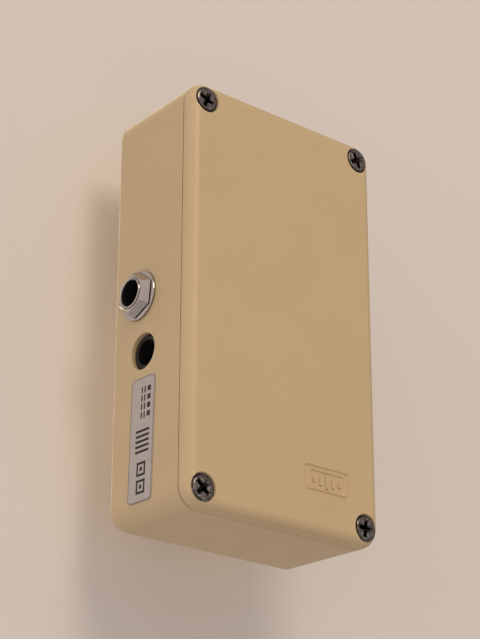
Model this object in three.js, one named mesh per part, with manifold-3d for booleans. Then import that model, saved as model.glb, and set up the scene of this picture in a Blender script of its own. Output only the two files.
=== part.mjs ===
// A compact active direct injection box in a die-cast pedal enclosure.
//
// Millimetres. +X is the right-hand side, where the instrument plugs in. +Y is the rear, with the
// balanced output. +Z is up, through the control face. The origin is the middle of the base
// cover's outer face, so the box stands on z = 0.
import * as THREE from "three";
import { mergeVertices, toCreasedNormals } from "three/addons/utils/BufferGeometryUtils.js";
import Module from "manifold-3d";

const wasm = await Module();
wasm.setup();

// ---- Driving dimensions ----

const GAP = 0.3; // between pieces that touch
const ROUND = 18; // sides of an ordinary round piece
const SMOOTH = 30; // sides of a large round piece
const SMALL = 12; // sides of a small or hidden round piece

const BOX = { width: 61.4, length: 112, height: 32, wall: 2.4, corner: 5.4, topEdge: 2.3, draft: 0.46 };
const COVER = { seam: 3.7, plate: 2.4, edge: 3.0, lip: 1.6, lipHeight: 1.5 };
const COVER_SCREW = { x: 25.8, y: 51.2, head: 3.45, shank: 1.7, length: 15, boss: 4.0 };

const CEILING = BOX.height - BOX.wall; // the underside of the control face
const SIDE = BOX.width / 2 - BOX.wall; // inner face of a side wall
const REAR = BOX.length / 2 - BOX.wall; // inner face of an end wall

const JACK = { y: 2.4, z: 20.5, bore: 3.3, thread: 4.7, neck: 4.0, out: 33.8, washer: 6.5, flats: 10.8 };
const DC = { y: -12.8, z: 18.8, hole: 4.7, bore: 3.25, pin: 1.05, collar: 4.4, face: 29.4 };
const LABEL = { y: -35.7, z: 18.2, length: 31.5, width: 9.4, corner: 1.4, thick: 0.2, tilt: 0.026 };
const SLIDE = { pitch: 16.5, z: 17, travel: 3, length: 4, width: 2.8 };
const XLR = { z: 17.2, cup: 9.45, shell: 11, face: 42, back: 37.4, mouth: 56.4, screwX: 14.4 };
const STOMP = { y: -38, thread: 6, top: 39, plunger: 4.9, plungerTop: 45.5, travel: 3 };
const KNOB = { y: 27.5, radius: 9.6, bottom: 32.9, top: 47.4, shaft: 3 };
const LED = { y: -14.1, lens: 2.4 };
const BOARD = { width: 53, front: -24, rear: 34, bottom: 12.3, thick: 1.6 };
const ON_BOARD = BOARD.bottom + BOARD.thick + GAP; // where a part on the board starts
const BADGE = { x: -13, y: -42, width: 15, height: 7.1, groove: 0.8, deep: 0.35 };

// ---- Materials ----

const finish = (color, roughness, metalness) =>
  new THREE.MeshStandardMaterial({ color, roughness, metalness });

const paint = () => finish(0xe3cfa0, 0.5, 0);
const chrome = () => finish(0xc9c9cc, 0.2, 1);
const darkSteel = () => finish(0x3a3b40, 0.35, 1);
const brass = () => finish(0xc8a24a, 0.3, 1);
const blackPlastic = () => finish(0x17181a, 0.45, 0);
const bluePlastic = () => finish(0x1d4f9e, 0.4, 0);
const aluminium = () => finish(0xb4b6b9, 0.35, 1);
const foil = () => finish(0xcfcbc4, 0.5, 0);
const boardGreen = () => finish(0x1f5a38, 0.5, 0);
const redLens = () => finish(0xb3141a, 0.15, 0);
const copper = () => finish(0xb0603a, 0.35, 1);
const wire = () => finish(0xd9d4c8, 0.5, 0);

// ---- Solids ----

// A closed geometry as a solid that can be cut and joined.
function solid(geometry) {
  const bare = new THREE.BufferGeometry();
  const loose = geometry.index ? geometry.toNonIndexed() : geometry;
  bare.setAttribute("position", loose.getAttribute("position"));
  const merged = mergeVertices(bare, 1e-4);
  const mesh = new wasm.Mesh({
    numProp: 3,
    vertProperties: merged.attributes.position.array,
    triVerts: new Uint32Array(merged.index.array),
  });
  return new wasm.Manifold(mesh);
}

const join = (first, ...others) => others.reduce((sum, other) => sum.add(other), first);
const cut = (first, ...others) => others.reduce((rest, other) => rest.subtract(other), first);

function toGeometry(body) {
  const mesh = body.getMesh();
  const geometry = new THREE.BufferGeometry();
  geometry.setAttribute("position", new THREE.BufferAttribute(mesh.vertProperties, 3));
  geometry.setIndex(new THREE.BufferAttribute(mesh.triVerts, 1));
  return toCreasedNormals(geometry, 0.6);
}

// Turns a geometry that was made around +Y so that it lies around the named axis.
function along(axis, geometry) {
  if (axis === "x") geometry.rotateZ(-Math.PI / 2);
  if (axis === "z") geometry.rotateX(Math.PI / 2);
  return geometry;
}

// A round bar around an axis, from one place on it to another.
function bar(axis, radius, from, to, sides = ROUND) {
  const geometry = new THREE.CylinderGeometry(radius, radius, to - from, sides);
  return solid(along(axis, geometry.translate(0, (from + to) / 2, 0)));
}

function tube(axis, outer, inner, from, to, sides = ROUND) {
  return cut(bar(axis, outer, from, to, sides), bar(axis, inner, from - 1, to + 1, sides));
}

// A turned piece around an axis. Its profile is a list of [radius, place on the axis], which
// starts and ends on the axis and climbs along it.
function turned(axis, profile, sides = ROUND) {
  const points = profile.map(([radius, place]) => new THREE.Vector2(radius, place));
  return solid(along(axis, new THREE.LatheGeometry(points, sides)));
}

// A block between two values on each axis.
function block([x0, x1], [y0, y1], [z0, z1]) {
  const geometry = new THREE.BoxGeometry(x1 - x0, y1 - y0, z1 - z0);
  return solid(geometry.translate((x0 + x1) / 2, (y0 + y1) / 2, (z0 + z1) / 2));
}

const around = (centre, size) => [centre - size / 2, centre + size / 2];

function rectangle(width, length) {
  const corner = (sx, sy) => new THREE.Vector2((sx * width) / 2, (sy * length) / 2);
  return new THREE.Shape([corner(1, 1), corner(-1, 1), corner(-1, -1), corner(1, -1)]);
}

function roundedRectangle(width, length, radius) {
  const x = width / 2 - radius;
  const y = length / 2 - radius;
  const quarter = Math.PI / 2;
  return new THREE.Shape()
    .absarc(x, y, radius, 0, quarter)
    .absarc(-x, y, radius, quarter, 2 * quarter)
    .absarc(-x, -y, radius, 2 * quarter, 3 * quarter)
    .absarc(x, -y, radius, 3 * quarter, 4 * quarter);
}

// An upright block whose top and bottom edges are rounded by the radius edge.
function roundedBlock(shape, bottom, top, edge, bevelSegments = 3) {
  const geometry = new THREE.ExtrudeGeometry(shape, {
    depth: top - bottom - 2 * edge,
    bevelEnabled: edge > 0,
    bevelThickness: edge,
    bevelSize: edge,
    bevelOffset: -edge,
    bevelSegments,
    curveSegments: 5,
  });
  return geometry.translate(0, 0, bottom + edge);
}

function prism(shape, bottom, top, curveSegments = 4) {
  const geometry = new THREE.ExtrudeGeometry(shape, {
    depth: top - bottom,
    bevelEnabled: false,
    curveSegments,
  });
  return solid(geometry.translate(0, 0, bottom));
}

// A hexagonal nut around an axis with chamfered corners on its outer face. The turn sets where
// its first corner points.
function hexNut(axis, flats, bore, from, to, turn = 0) {
  const corner = flats / Math.sqrt(3);
  const height = to - from;
  const prismGeometry = new THREE.CylinderGeometry(corner, corner, height, 6);
  prismGeometry.rotateY(turn).translate(0, (from + to) / 2, 0);
  const chamfer = turned(axis, [
    [0, from - 1],
    [corner + 1, from - 1],
    [corner + 1, to - 0.6 - 1 / Math.sqrt(3)],
    [flats / 2 - 0.2, to + 0.01],
    [0, to + 0.01],
  ]);
  return cut(solid(along(axis, prismGeometry)).intersect(chamfer), bar(axis, bore, from - 1, to + 1));
}

// A wire or strip that follows a smooth path of points.
function swept(section, points, steps) {
  const path = new THREE.CatmullRomCurve3(points.map((p) => new THREE.Vector3(...p)));
  const geometry = new THREE.ExtrudeGeometry(section, {
    steps,
    extrudePath: path,
    bevelEnabled: false,
    curveSegments: 2,
  });
  return solid(geometry);
}

// ---- The tree of named pieces ----

const directBox = new THREE.Group();
directBox.name = "direct_injection_box";

function place(parent, name, body, material) {
  const mesh = new THREE.Mesh(toGeometry(body), material);
  mesh.name = name;
  parent.add(mesh);
  return mesh;
}

function groupAt(x, y, z, turn = 0) {
  const group = new THREE.Group();
  group.position.set(x, y, z);
  group.rotation.z = turn;
  directBox.add(group);
  return group;
}

const corners = [1, -1].flatMap((sy) => [1, -1].map((sx) => [sx * COVER_SCREW.x, sy * COVER_SCREW.y]));

// ---- Enclosure body ----

// The walls lean in a little towards the control face, as a casting's do.
function leanIn(geometry) {
  const position = geometry.getAttribute("position");
  for (let i = 0; i < position.count; i++) {
    const rise = (position.getZ(i) - COVER.seam) / (BOX.height - COVER.seam);
    const inset = 2 * BOX.draft * rise;
    position.setX(i, position.getX(i) * (1 - inset / BOX.width));
    position.setY(i, position.getY(i) * (1 - inset / BOX.length));
  }
  return geometry;
}

function enclosureBody() {
  const outline = roundedRectangle(BOX.width, BOX.length, BOX.corner);
  const outside = leanIn(roundedBlock(outline, 0, BOX.height, BOX.topEdge));
  const cavity = roundedRectangle(2 * SIDE, 2 * REAR, BOX.corner - BOX.wall);
  const bottom = COVER.seam + 0.1;
  const shell = cut(
    solid(outside),
    block(around(0, 80), around(0, 130), [-1, bottom]),
    prism(cavity, -1, CEILING),
  );
  const bosses = corners.map(([x, y]) =>
    bar("z", COVER_SCREW.boss, bottom, CEILING + 0.5, SMALL).translate(x, y, 0),
  );
  const pilotHoles = corners.map(([x, y]) =>
    bar("z", COVER_SCREW.shank + 0.15, 0, COVER_SCREW.length + 3, SMALL).translate(x, y, 0),
  );
  return cut(join(shell, ...bosses), ...pilotHoles, ...sideHoles(), ...rearHoles(), ...topHoles());
}

function sideHoles() {
  const jacks = bar("x", JACK.thread + 0.25, -40, 40).translate(0, JACK.y, JACK.z);
  const inlet = bar("x", DC.hole, 20, 40, SMOOTH).translate(0, DC.y, DC.z);
  const windows = [-1, 1].map((side) =>
    block(
      [-40, -20],
      around(JACK.y + side * SLIDE.pitch, SLIDE.length + SLIDE.travel + 0.8),
      around(SLIDE.z, SLIDE.width + 0.8),
    ),
  );
  return [jacks, inlet, ...windows];
}

function rearHoles() {
  const mouth = bar("y", XLR.shell + 0.2, 50, 60, SMOOTH).translate(0, 0, XLR.z);
  const screws = [-1, 1].map((side) => bar("y", 1.7, 50, 60, SMALL).translate(side * XLR.screwX, 0, XLR.z));
  return [mouth, ...screws];
}

function topHoles() {
  const hole = (radius, y) => bar("z", radius, 25, 40).translate(0, y, 0);
  return [hole(STOMP.thread + 0.25, STOMP.y), hole(4.25, KNOB.y), hole(3.2, LED.y)];
}

// ---- Base cover ----

function baseCover() {
  const outline = roundedRectangle(BOX.width, BOX.length, BOX.corner);
  const top = COVER.seam - 0.1;
  const shell = cut(
    solid(roundedBlock(outline, 0, 4 * COVER.edge, COVER.edge)),
    block(around(0, 80), around(0, 130), [top, 20]),
  );
  const pocket = cut(
    block(around(0, 2 * SIDE - 5), around(0, 2 * REAR - 5), [COVER.plate, 10]),
    ...corners.map(([x, y]) => bar("z", COVER_SCREW.boss + 1, 0, 10, SMALL).translate(x, y, 0)),
  );
  return cut(join(cut(shell, pocket), ...coverLips(top)), ...coverHoles(), badgeGroove(), badgePanel());
}

// Four ribs on the inside of the cover locate it between the walls, clear of the corner bosses.
function coverLips(from) {
  const reachX = 2 * (COVER_SCREW.x - COVER_SCREW.boss - 1);
  const reachY = 2 * (COVER_SCREW.y - COVER_SCREW.boss - 1);
  const height = [from - 1, from + COVER.lipHeight];
  return [-1, 1].flatMap((side) => [
    block(around(side * (SIDE - GAP - COVER.lip / 2), COVER.lip), around(0, reachY), height),
    block(around(0, reachX), around(side * (REAR - GAP - COVER.lip / 2), COVER.lip), height),
  ]);
}

function coverHoles() {
  const { head, shank } = COVER_SCREW;
  return corners.map(([x, y]) =>
    turned("z", [
      [0, -1],
      [head + 0.25, -1],
      [head + 0.25, 0.3],
      [shank + 0.25, 2.3],
      [shank + 0.25, 8],
      [0, 8],
    ], SMALL).translate(x, y, 0),
  );
}

// A plain frame line is sunk into the outer face, round a sunk panel with upright bars.
function badgeGroove() {
  const { x, y, width, height, groove, deep } = BADGE;
  const outer = block(around(x, width), around(y, height), [-1, deep]);
  const inner = block(around(x, width - 2 * groove), around(y, height - 2 * groove), [-2, deep + 1]);
  return cut(outer, inner);
}

function badgePanel() {
  const { x, y, width, height, deep } = BADGE;
  const panel = block(around(x, width - 3.4), around(y, height - 2.4), [-1, deep]);
  const heights = [1.4, 2.4, 3.4, 2.4, 1.4];
  const bars = heights.map((size, i) =>
    block(around(x + (i - 2) * 2.1, 0.9), around(y, size), [-2, deep + 1]),
  );
  return cut(panel, ...bars);
}

// ---- Cover screws ----

// A flat-head screw with its head towards -Z and a cross recess.
function coverScrew() {
  const { head, shank, length } = COVER_SCREW;
  const blank = turned("z", [
    [0, 0.1],
    [head - 0.35, 0.15],
    [head, 0.35],
    [shank, 2.2],
    [shank, length - 0.8],
    [shank - 0.7, length],
    [0, length],
  ], SMALL);
  const depth = [-1, 1.3];
  return cut(blank, block(around(0, 4), around(0, 0.9), depth), block(around(0, 0.9), around(0, 4), depth));
}

// ---- Quarter-inch jacks ----

// Each jack is made facing +X, with its axis through the group's origin.
function jack(name, turn) {
  const group = groupAt(0, JACK.y, JACK.z, turn);
  const face = BOX.width / 2 - BOX.draft / 2; // the wall's outer face at the jack
  const housing = { back: 5.8, front: SIDE - 0.5, wide: 15.6, high: 11.8 };
  const inside = housing.front - GAP;

  const box = block([housing.back, housing.front], around(0, housing.wide), around(0, housing.high));
  const contactSlot = block([housing.back + 2, inside - 4], around(0, 10.4), [-4.6, 4.6]);
  const bushingSeat = bar("x", JACK.thread + GAP, inside - 3, 40);
  const bore = bar("x", JACK.bore, housing.back + 2, 40);
  const solderSide = block([housing.back + 2, inside - 4], [-4, 4], [4, 10]);
  place(group, name + "_housing", cut(box, contactSlot, bushingSeat, bore, solderSide), blackPlastic());

  const shoulder = face + 1.4;
  const bushing = join(
    tube("x", JACK.thread, JACK.bore, inside - 2.7, shoulder),
    tube("x", JACK.neck, JACK.bore, shoulder - 0.5, JACK.out),
  );
  place(group, name + "_bushing", bushing, chrome());
  const washer = tube("x", JACK.washer, JACK.thread + 0.15, face + 0.15, face + 0.75);
  place(group, name + "_washer", washer, chrome());
  place(group, name + "_nut", dressNut(face + 0.9, shoulder, face + 3.0), chrome());

  place(group, name + "_tip_spring", contactSpring(1, housing.back + 3), brass());
  place(group, name + "_sleeve_spring", contactSpring(-1, housing.back + 6), brass());
}

// A hexagonal dress nut around X. Its flats rise straight to the shoulder and then draw in to the
// bushing's neck.
function dressNut(from, shoulder, to) {
  const corner = JACK.flats / Math.sqrt(3);
  const crown = (JACK.neck + 0.35) / Math.cos(Math.PI / 6);
  const straight = new THREE.CylinderGeometry(corner, corner, shoulder - 0.4 - from, 6);
  straight.rotateY(0.12).translate(0, (from + shoulder - 0.4) / 2, 0);
  const drawnIn = new THREE.CylinderGeometry(crown, corner, to - shoulder + 0.4, 6);
  drawnIn.rotateY(0.12).translate(0, (to + shoulder - 0.4) / 2, 0);
  const nut = join(solid(along("x", straight)), solid(along("x", drawnIn)));
  const threadBore = bar("x", JACK.thread + 0.15, from - 1, shoulder + 0.15);
  return cut(nut, threadBore, bar("x", JACK.neck + 0.15, from, to + 1));
}

// A bent strip beside the bore, whose nose reaches in towards the plug.
function contactSpring(side, start) {
  const strip = rectangle(2.4, 0.4);
  const route = [
    [start, side * 4.7, 0],
    [start + 3, side * 4.4, 0],
    [start + 6, side * 3.1, 0],
    [start + 8, side * 4.2, 0],
  ];
  return swept(strip, route, 10);
}

// ---- Power inlet ----

function powerInlet() {
  const group = groupAt(0, DC.y, DC.z);
  const back = 13.8;
  const front = SIDE - 0.3;
  const low = ON_BOARD - DC.z;
  const box = block([back, front], around(0, 9.2), [low, 5.2]);
  const collar = bar("x", DC.collar, front - 1, DC.face); // stands in the wall's hole
  const contactSlot = block([back + 3, front - 3], [-1.4, 1.4], [-10, -2]);
  const bore = bar("x", DC.bore, back + 2, DC.face + 1);
  place(group, "dc_inlet_housing", cut(join(box, collar), bore, contactSlot), blackPlastic());
  const pin = turned("x", [
    [0, back + 2 + GAP],
    [DC.pin, back + 2 + GAP],
    [DC.pin, 24.4],
    [0.6, 25],
    [0, 25],
  ]);
  place(group, "dc_inlet_pin", pin, chrome());
  const spring = block([back + 4, front - 4], [-1, 1], [-3.3, -2.9]);
  place(group, "dc_inlet_spring", spring, brass());
}

// ---- Rating label ----

// A thin label on the right-hand wall, stuck on a little askew, parallel to the leaning wall.
function ratingLabel() {
  const outline = roundedRectangle(LABEL.length, LABEL.width, LABEL.corner);
  const mesh = place(directBox, "rating_label", prism(outline, 0, LABEL.thick, 4), foil());
  const lean = BOX.draft / (BOX.height - COVER.seam);
  const face = BOX.width / 2 - lean * (LABEL.z - COVER.seam);
  const upright = new THREE.Matrix4().makeBasis(
    new THREE.Vector3(0, 1, 0),
    new THREE.Vector3(0, 0, 1),
    new THREE.Vector3(1, 0, 0),
  );
  const leaning = new THREE.Matrix4().makeRotationY(-lean);
  const askew = new THREE.Matrix4().makeRotationX(-LABEL.tilt);
  mesh.applyMatrix4(leaning.multiply(askew).multiply(upright));
  mesh.position.set(face + 0.05, LABEL.y, LABEL.z);
}

// ---- Slide switches ----

// Each switch lies on the board with its slider through a window in the left-hand wall.
function slideSwitch(name, y) {
  const group = groupAt(0, y, SLIDE.z);
  const slot = { depth: -25, half: (SLIDE.length + SLIDE.travel) / 2 + 0.3 };
  const low = ON_BOARD - SLIDE.z;
  const frame = cut(
    block([-SIDE + 0.3, -22], around(0, 12.4), [low, -low]),
    block([-40, slot.depth], [-slot.half, slot.half], around(0, SLIDE.width + 0.6)),
  );
  place(group, name + "_switch_frame", frame, aluminium());
  const rest = -SLIDE.travel / 2;
  const stem = block([-32.1, slot.depth - GAP], around(rest, SLIDE.length), around(0, SLIDE.width));
  const ridge = block([-40, -31.6], around(rest, 1), around(0, 10));
  place(group, name + "_slider", cut(stem, ridge), blackPlastic());
}

// ---- Balanced output ----

const XLR_PINS = [25, 155, 270].map((degrees) => THREE.MathUtils.degToRad(degrees));
const xlrPinPlace = (angle) => [4.7 * Math.cos(angle), 4.7 * Math.sin(angle)];

function balancedOutput() {
  const group = groupAt(0, 0, XLR.z);
  const barrel = cut(
    bar("y", XLR.shell, XLR.back, XLR.mouth, SMOOTH),
    bar("y", XLR.cup, XLR.back - 1, XLR.mouth + 1, SMOOTH),
  );
  const flangePlate = cut(
    block(around(0, 33), [REAR - 2, REAR - 0.4], around(0, 22.6)),
    bar("y", XLR.cup + 0.5, 0, 90, SMOOTH),
    ...[-1, 1].map((side) => bar("y", 1.65, 0, 90, SMALL).translate(side * XLR.screwX, 0, 0)),
  );
  place(group, "xlr_shell", join(barrel, flangePlate), darkSteel());

  const pinHoles = XLR_PINS.map((angle) => {
    const [x, z] = xlrPinPlace(angle);
    return bar("y", 1.35, 0, 90, SMALL).translate(x, 0, z);
  });
  const disc = bar("y", XLR.cup - 0.15, XLR.back + 0.6, XLR.face, SMOOTH);
  place(group, "xlr_insert", cut(disc, ...pinHoles), blackPlastic());

  XLR_PINS.forEach((angle, i) => {
    const [x, z] = xlrPinPlace(angle);
    const pin = turned("y", [
      [0, 36.4],
      [1.2, 36.4],
      [1.2, 52],
      [0.7, 53],
      [0, 53.2],
    ], SMALL);
    place(group, `xlr_pin_${i + 1}`, pin.translate(x, 0, z), chrome());
    place(group, `xlr_lead_${i + 1}`, outputLead(x, z), wire());
  });

  [-1, 1].forEach((side) => {
    const name = side < 0 ? "xlr_screw_left" : "xlr_screw_right";
    place(group, name, flangeScrew().translate(side * XLR.screwX, 0, 0), darkSteel());
  });
}

// A short lead from a pin's tail down to the board.
function outputLead(x, z) {
  const boardTop = ON_BOARD - XLR.z;
  const section = new THREE.Shape().absarc(0, 0, 0.6, 0, 2 * Math.PI);
  const route = [
    [x, 36.1, z],
    [x, 35.4, z],
    [0.8 * x, 34.7, Math.max((z + boardTop) / 2, boardTop + 1.2)],
    [0.7 * x, 33.2, boardTop + 1.2],
    [0.7 * x, 32, boardTop + 0.6],
  ];
  return swept(section, route, 10);
}

function flangeScrew() {
  const wall = BOX.length / 2 - BOX.draft / 2;
  const blank = turned("y", [
    [0, REAR - 5],
    [1.5, REAR - 5],
    [1.5, wall + 0.2],
    [2.75, wall + 0.2],
    [2.75, wall + 0.9],
    [2.1, wall + 1.6],
    [0, wall + 1.7],
  ], SMALL);
  const slot = [wall + 0.7, wall + 5];
  const recess = [block(around(0, 3), slot, around(0, 0.7)), block(around(0, 0.7), slot, around(0, 3))];
  return cut(blank, ...recess);
}

// ---- Footswitch ----

function footswitch() {
  const group = groupAt(0, STOMP.y, 0);
  const flange = { bottom: CEILING - 1.4, top: CEILING - 0.4 };
  const bodyTop = flange.bottom - GAP;
  const well = bar("z", 6.3, bodyTop - STOMP.travel - 2.8, 40);
  const body = cut(block(around(0, 17.2), around(0, 17.2), [15, bodyTop]), well);
  place(group, "footswitch_body", body, bluePlastic());

  const board = block(around(0, 16), around(0, 16), [13.7, 14.7]);
  const lugs = [-5, 0, 5].flatMap((x) =>
    [-5, 0, 5].map((y) => block(around(x, 2.2), around(y, 0.8), [9.4, 14])),
  );
  place(group, "footswitch_terminals", join(board, ...lugs), brass());

  const sleeve = bar("z", STOMP.thread, flange.bottom, STOMP.top);
  const collar = bar("z", 8.2, flange.bottom, flange.top);
  const guide = bar("z", STOMP.plunger + 0.25, 20, 60);
  place(group, "footswitch_bushing", cut(join(sleeve, collar), guide), chrome());

  const washer = tube("z", 8.6, STOMP.thread + 0.2, BOX.height + 0.15, BOX.height + 0.95);
  place(group, "footswitch_washer", washer, chrome());
  const nut = hexNut("z", 14, STOMP.thread + 0.2, BOX.height + 1.1, BOX.height + 3.5);
  place(group, "footswitch_nut", nut, chrome());
  place(group, "footswitch_plunger", footswitchPlunger(bodyTop), chrome());
}

// The button and its stem, with a collar below the bushing that keeps it from pulling out.
function footswitchPlunger(bodyTop) {
  const { plunger, plungerTop } = STOMP;
  return turned("z", [
    [0, bodyTop - 1.8],
    [5.9, bodyTop - 1.8],
    [5.9, bodyTop - 0.6],
    [plunger, bodyTop - 0.6],
    [plunger, plungerTop - 1.6],
    [plunger - 0.4, plungerTop - 0.8],
    [plunger - 1.5, plungerTop - 0.25],
    [0, plungerTop],
  ]);
}

// ---- Level control ----

function levelControl() {
  const group = groupAt(0, KNOB.y, 0);
  const { shaft } = KNOB;
  const canTop = CEILING - 0.4;
  const shaftHole = bar("z", shaft + 0.25, canTop - 4.5, 60);
  const can = bar("z", 8.2, canTop - 8, canTop);
  const legs = [-5, 0, 5].map((x) => block(around(x, 1.2), around(-8.5, 0.8), [ON_BOARD, canTop - 4]));
  const legPlate = block(around(0, 13), [-9.2, -6], [canTop - 5, canTop - 3.4]);
  place(group, "level_pot_body", cut(join(can, legPlate, ...legs), shaftHole), aluminium());

  const bushing = tube("z", 4, shaft + 0.25, canTop + 0.15, BOX.height + 4.4);
  place(group, "level_pot_bushing", bushing, brass());
  const washer = tube("z", 6.4, 4.2, BOX.height + 0.15, BOX.height + 0.7);
  place(group, "level_pot_washer", washer, chrome());
  const nut = hexNut("z", 11, 4.2, BOX.height + 0.85, BOX.height + 2.85);
  place(group, "level_pot_nut", nut, chrome());
  place(group, "level_pot_shaft", bar("z", shaft, canTop - 4, 43.5), aluminium());

  place(group, "level_knob", levelKnob(), blackPlastic());
  place(group, "knob_set_screw", knobSetScrew(), darkSteel());
}

// The knob is fluted, hollow underneath for the nut, and has a pointer line across its top.
function levelKnob() {
  const { radius, bottom, top, shaft } = KNOB;
  const flutes = 18;
  const steps = flutes * 4;
  const points = Array.from({ length: steps }, (_, i) => {
    const angle = (i / steps) * 2 * Math.PI;
    const ripple = 0.35 * Math.max(0, Math.cos(flutes * angle));
    return new THREE.Vector2(Math.cos(angle), Math.sin(angle)).multiplyScalar(radius - ripple);
  });
  return cut(
    solid(roundedBlock(new THREE.Shape(points), bottom, top, 0.8, 2)),
    bar("z", 7.4, bottom - 1, BOX.height + 5),
    bar("z", shaft + 0.15, bottom, 43.8),
    block(around(0, 0.9), [1.5, 20], [top - 0.5, top + 5]),
    bar("y", 1.6, -20, -shaft, SMALL).translate(0, 0, 40.5),
  );
}

function knobSetScrew() {
  const screw = bar("y", 1.4, -8.4, -KNOB.shaft - 0.3, SMALL).translate(0, 0, 40.5);
  const slot = block(around(0, 0.5), [-10, -7.6], around(40.5, 4));
  return cut(screw, slot);
}

// ---- Status lamp ----

function statusLamp() {
  const group = groupAt(0, LED.y, 0);
  const top = BOX.height;
  const sleeve = bar("z", 2.95, CEILING - 1.6, top + 0.9);
  const rim = turned("z", [
    [0, top + 0.15],
    [3.9, top + 0.15],
    [3.9, top + 0.5],
    [3.3, top + 1.1],
    [0, top + 1.1],
  ]);
  const bore = bar("z", LED.lens + 0.15, 20, 50);
  place(group, "led_bezel", cut(join(sleeve, rim), bore), chrome());

  const dome = [0, 1, 2, 3, 4].map((i) => {
    const angle = (i / 4) * (Math.PI / 2);
    return [LED.lens * Math.cos(angle), top + 0.2 + LED.lens * Math.sin(angle)];
  });
  dome[dome.length - 1][0] = 0;
  const lens = turned("z", [[0, CEILING - 4], [LED.lens, CEILING - 4], ...dome]);
  const legs = [-1.27, 1.27].map((x) => bar("z", 0.35, ON_BOARD, CEILING - 3.5, 6).translate(x, 0, 0));
  place(group, "status_led", join(lens, ...legs), redLens());
}

// ---- Circuit board ----

function circuitBoard() {
  const { width, front, rear, bottom, thick } = BOARD;
  const board = block(around(0, width), [front, rear], [bottom, bottom + thick]);
  place(directBox, "circuit_board", board, boardGreen());
  outputTransformer(groupAt(18.5, 21.6, ON_BOARD));

  [[-14.5, 16], [-14.5, 26], [-23.2, 29.8]].forEach(([x, y], i) => {
    const profile = [[0, 0], [3.9, 0], [3.9, 1.2], [3.6, 1.6], [4, 2], [4, 11.2], [3.7, 11.5], [0, 11.5]];
    const can = turned("z", profile, SMALL);
    place(directBox, `electrolytic_capacitor_${i + 1}`, can.translate(x, y, ON_BOARD), bluePlastic());
  });
  const film = block(around(0, 7.2), around(14.5, 2.8), [ON_BOARD, ON_BOARD + 6.2]);
  place(directBox, "film_capacitor", film, redLens());
  place(directBox, "amplifier_chip", amplifierChip(), blackPlastic());
  place(directBox, "footswitch_ribbon", footswitchRibbon(), wire());
}

// A small laminated core with its winding round the middle leg.
function outputTransformer(group) {
  const core = { stack: 11, wide: 18, high: 13, leg: 5.4, yoke: 2.6 };
  const windowWidth = (core.wide - 2 * core.yoke - core.leg) / 2;
  const windows = [-1, 1].map((side) =>
    block(
      around(0, 20),
      around((side * (core.leg + windowWidth)) / 2, windowWidth),
      [core.yoke, core.high - core.yoke],
    ),
  );
  const laminations = block(around(0, core.stack), around(0, core.wide), [0, core.high]);
  place(group, "transformer_core", cut(laminations, ...windows), darkSteel());

  const reach = 2 * (windowWidth - GAP);
  const outline = roundedRectangle(core.stack + reach, core.leg + reach, 2);
  const [low, high] = [core.yoke + GAP, core.high - core.yoke - GAP];
  const legHole = block(around(0, core.stack + 2 * GAP), around(0, core.leg + 2 * GAP), [0, 20]);
  place(group, "transformer_winding", cut(prism(outline, low, high, 4), legHole), copper());
}

// A dual in-line package between the two jacks, with four legs a side.
function amplifierChip() {
  const bottom = ON_BOARD;
  const packageBody = block(around(0, 6.4), around(JACK.y, 9.8), [bottom + 0.6, bottom + 3.9]);
  const legs = [-1, 1].flatMap((side) =>
    [-1.5, -0.5, 0.5, 1.5].map((step) =>
      block(around(side * 3.5, 0.8), around(JACK.y + step * 2.54, 1.2), [bottom, bottom + 2.2]),
    ),
  );
  return join(packageBody, ...legs);
}

function footswitchRibbon() {
  const strip = rectangle(10, 0.8);
  const route = [
    [0, BOARD.front + 3, BOARD.bottom - 0.9],
    [0, BOARD.front, BOARD.bottom - 1.4],
    [0, BOARD.front - 4, BOARD.bottom - 1.6],
    [0, BOARD.front - 7, BOARD.bottom - 1.2],
  ];
  return swept(strip, route, 10);
}

// ---- Assembly ----

place(directBox, "enclosure_body", enclosureBody(), paint());
place(directBox, "base_cover", baseCover(), paint());
corners.forEach(([x, y], i) => {
  const screw = place(directBox, `cover_screw_${i + 1}`, coverScrew(), darkSteel());
  screw.position.set(x, y, 0);
});
jack("input_jack", 0);
jack("thru_jack", Math.PI);
powerInlet();
ratingLabel();
slideSwitch("ground_lift", JACK.y - SLIDE.pitch);
slideSwitch("pad", JACK.y + SLIDE.pitch);
balancedOutput();
footswitch();
levelControl();
statusLamp();
circuitBoard();

export default directBox;
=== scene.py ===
"""A compact active direct injection box in a cream die-cast housing.

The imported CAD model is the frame: every place and size below comes from its nodes. The visible
outside is rebuilt here as fine meshes, and the inner pieces keep their CAD shape.

The main view looks at the base cover from below, as if the box lay face down on a pale surface,
and the other views look from above. So there are two pale sheets, one under the box and one over
its controls, and each is seen from the box's side only.
"""

import math

import bmesh
import bpy
from mathutils import Matrix, Vector


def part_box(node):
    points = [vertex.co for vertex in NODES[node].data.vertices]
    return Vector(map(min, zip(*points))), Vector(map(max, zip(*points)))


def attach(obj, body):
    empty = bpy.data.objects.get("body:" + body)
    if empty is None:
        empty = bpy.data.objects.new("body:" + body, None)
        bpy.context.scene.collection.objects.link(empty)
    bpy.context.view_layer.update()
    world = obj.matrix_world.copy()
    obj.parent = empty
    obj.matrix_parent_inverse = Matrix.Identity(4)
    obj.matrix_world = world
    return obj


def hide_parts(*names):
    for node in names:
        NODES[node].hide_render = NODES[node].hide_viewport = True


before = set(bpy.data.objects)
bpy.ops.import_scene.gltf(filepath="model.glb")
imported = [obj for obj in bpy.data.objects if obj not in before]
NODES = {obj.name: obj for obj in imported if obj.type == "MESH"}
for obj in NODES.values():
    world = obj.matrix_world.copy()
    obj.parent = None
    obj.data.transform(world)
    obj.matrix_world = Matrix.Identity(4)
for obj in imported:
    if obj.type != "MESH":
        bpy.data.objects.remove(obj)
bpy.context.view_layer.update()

MM = 0.001
SMOOTH_STEPS = 72  # round a large turned piece
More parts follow.
